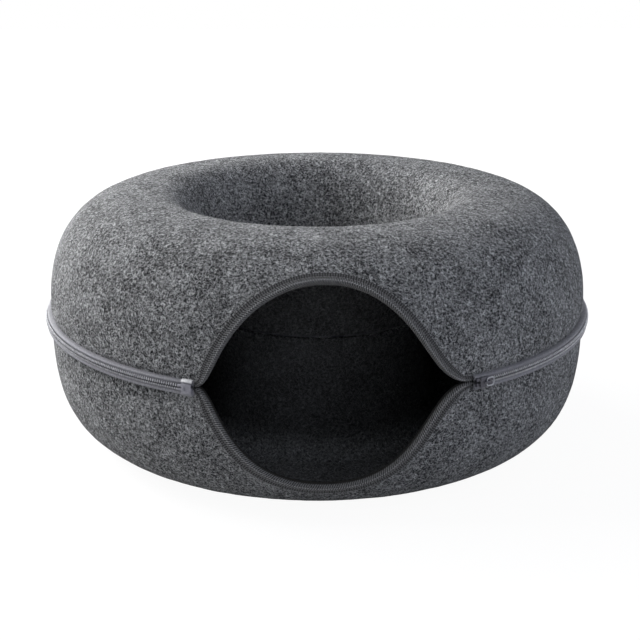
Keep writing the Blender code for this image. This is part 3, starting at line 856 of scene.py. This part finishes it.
def softened(name, node, kind):
    # A metal or plastic piece is the solid itself, with its edges rounded
    deselectAll()
    source = frame["nodes"][node]
    piece = bpy.data.objects.new(name, source.data.copy())
    bpy.context.scene.collection.objects.link(piece)
    settleMesh(piece, zipSettings["merge"])
    bpy.ops.object.mode_set(mode="EDIT")
    bpy.ops.mesh.select_all(action="SELECT")
    bpy.ops.mesh.dissolve_limited(angle_limit=zipSettings["flatAngle"])
    bpy.ops.object.mode_set(mode="OBJECT")
    applyModifier(piece, "BEVEL", width=zipSettings["softEdge"][kind], segments=zipSettings["bevelSegments"],
                  limit_method="ANGLE", angle_limit=zipSettings["bevelAngle"], use_clamp_overlap=True)
    smooth(piece, zipSettings["softSmooth"])
    return piece


def buildZip(key):
    line = zips[key]
    zip = key + "_zip_"
    for half, sign in (("upper", 1), ("lower", -1)):
        body = half + "_half"
        node = zip + half + "_"
        name = key + "Zip" + half.title()
        dress(zipTape(name + "Tape", line, sign), body, finishes["tape"], "zip_tape", node + "tape")
        dress(coilRow(name + "Coil", line, sign), body, finishes["coil"], "zip_coil", node + "coil")
        dress(tapeStitches(name + "Stitches", line, sign), body, finishes["darkThread"], "zip_tape")
        film = finishes["film" if node == "outer_zip_upper_" else "dullFilm"]
        dress(softened(name + "EndFilm", node + "end_film", "film"), body, film, "end_film",
              node + "end_film")
        dress(softened(name + "Stop", node + "stop", "stop"), body, finishes["slider"], "zip_coil",
              node + "stop")
    dress(softened(key + "ZipPin", zip + "insertion_pin", "box"), "upper_half", finishes["box"], "zip_box",
          zip + "insertion_pin")
    dress(softened(key + "ZipBox", zip + "retainer_box", "box"), "lower_half", finishes["box"], "zip_box",
          zip + "retainer_box")
    dress(softened(key + "ZipSlider", zip + "slider", "slider"), key + "_slider", finishes["slider"],
          "zip_slider", zip + "slider")
    pull = softened(key + "ZipPull", zip + "pull_tab", "pull")
    bpy.ops.object.mode_set(mode="EDIT")
    bpy.ops.mesh.select_all(action="SELECT")
    bpy.ops.transform.resize(value=(1, 1, zipSettings["pullWidening"]), center_override=axisSpot)
    bpy.ops.object.mode_set(mode="OBJECT")
    dress(pull, key + "_pull", finishes["pull"], "zip_slider", zip + "pull_tab")


for key in zips:
    buildZip(key)
print("zips made")


# Floor, light and camera

studio = {
    "distance": 1.2, "height": math.radians(17.45), "turn": math.radians(-1.5), "focal": 1248, "frame": 640,
    "seen": (317.2, 299.3),
    "world": 0.19, "skyTint": (0.93, 0.98, 1.08),
    "floorSize": 8, "floorDrop": 0.0002, "floorGlow": 0.94, "floorSeen": 0.13, "floorColour": 0.45,
    "floorFar": (0.7, 1.6),
}
softBoxes = {
    "keyLight": {"place": (-1.464, 0.258, 1.338), "size": (1.2, 1.2), "power": 25.5, "tint": (1, 1, 1)},
    "backLight": {"place": (-1.165, 1.389, 0.845), "size": (1.2, 1.2), "power": 40.0, "tint": (1, 1, 1)},
    "sideLight": {"place": (1.8, -0.2, 0.8), "size": (1.2, 1.2), "power": 5.3, "tint": (0.92, 0.97, 1.10)},
    "frontLight": {"place": (1.3, -1.4, 0.6), "size": (1.0, 1.0), "power": 3.2, "tint": (0.92, 0.97, 1.10)},
    "lowLight": {"place": (-1.75, -0.75, 0.3), "size": (1.0, 0.5), "power": 3.0, "tint": (1, 1, 1)},
}


def cameraView():
    camera = bpy.data.objects.new("camera", bpy.data.cameras.new("camera"))
    bpy.context.scene.collection.objects.link(camera)
    camera.data.lens = studio["focal"] / studio["frame"] * camera.data.sensor_width
    level = studio["distance"] * math.cos(studio["height"])
    offset = Vector((math.sin(studio["turn"]) * level, -math.cos(studio["turn"]) * level,
                     studio["distance"] * math.sin(studio["height"])))
    camera.location = axisSpot + offset
    towards = -offset.normalized()
    sideways = towards.cross(Vector((0, 0, 1))).normalized()
    upward = sideways.cross(towards)
    halfFrame = studio["frame"] / 2
    right = (halfFrame - studio["seen"][0]) / studio["focal"]
    down = (studio["seen"][1] - halfFrame) / studio["focal"]
    aim = (towards + sideways * right + upward * down).normalized()
    across = aim.cross(upward).normalized()
    turn = Matrix((across, across.cross(aim), -aim)).transposed()
    camera.matrix_world = Matrix.Translation(camera.location) @ turn.to_4x4()
    bpy.context.scene.camera = camera


def softBox(name, box):
    lamp = bpy.data.objects.new(name, bpy.data.lights.new(name, "AREA"))
    bpy.context.scene.collection.objects.link(lamp)
    lamp.data.shape = "RECTANGLE"
    lamp.data.size, lamp.data.size_y = box["size"]
    lamp.data.energy = box["power"]
    lamp.data.color = box["tint"]
    lamp.location = Vector(box["place"])
    lamp.rotation_euler = (axisSpot - lamp.location).to_track_quat("-Z", "Y").to_euler()


def whiteSeen(tree, seen, other):
    # The camera and reflections see one surface, and the light that falls on the object comes from the other
    path = tree.nodes.new("ShaderNodeLightPath")
    looking = tree.nodes.new("ShaderNodeMath")
    looking.operation = "MAXIMUM"
    tree.links.new(path.outputs["Is Camera Ray"], looking.inputs[0])
    tree.links.new(path.outputs["Is Glossy Ray"], looking.inputs[1])
    mix = tree.nodes.new("ShaderNodeMixShader")
    tree.links.new(looking.outputs[0], mix.inputs[0])
    tree.links.new(other, mix.inputs[1])
    tree.links.new(seen, mix.inputs[2])
    return mix.outputs[0]


def worldLight():
    world = bpy.data.worlds.new("studio")
    bpy.context.scene.world = world
    world.use_nodes = True
    tree = world.node_tree
    dim = tree.nodes["Background"]
    dim.inputs[1].default_value = studio["world"]
    dim.inputs[0].default_value = (*studio["skyTint"], 1)
    bright = tree.nodes.new("ShaderNodeBackground")
    bright.inputs[0].default_value = (1, 1, 1, 1)
    bright.inputs[1].default_value = 1.0
    tree.links.new(whiteSeen(tree, bright.outputs[0], dim.outputs[0]), tree.nodes["World Output"].inputs[0])


def paleFloor():
    # Seen by the camera the floor glows almost white and keeps a faint shadow; to the object it is plain grey
    deselectAll()
    bpy.ops.mesh.primitive_plane_add(size=studio["floorSize"], location=(0, 0, -studio["floorDrop"]))
    floor = added("floor")
    finish = Finish("paleFloor", 0.9, Specular_IOR_Level=0.0)
    tree = finish.tree
    finish.shader.inputs["Base Color"].default_value = (*(studio["floorSeen"],) * 3, 1.0)
    away = finish.node("ShaderNodeVectorMath", {"operation": "LENGTH"}, {0: finish.spot(1.0)}, 1)
    glow = away.between(*studio["floorFar"]) * (1 - studio["floorGlow"]) + studio["floorGlow"]
    finish.feed(finish.shader.inputs["Emission Strength"], glow)
    finish.shader.inputs["Emission Color"].default_value = (1, 1, 1, 1)
    plain = tree.nodes.new("ShaderNodeBsdfDiffuse")
    plain.inputs[0].default_value = (*(studio["floorColour"],) * 3, 1.0)
    mixed = whiteSeen(tree, finish.shader.outputs[0], plain.outputs[0])
    tree.links.new(mixed, tree.nodes["Material Output"].inputs[0])
    floor.data.materials.append(finish.material)


cameraView()
worldLight()
paleFloor()
for name, box in softBoxes.items():
    softBox(name, box)
bpy.context.scene.view_settings.view_transform = "Standard"
print("studio made")
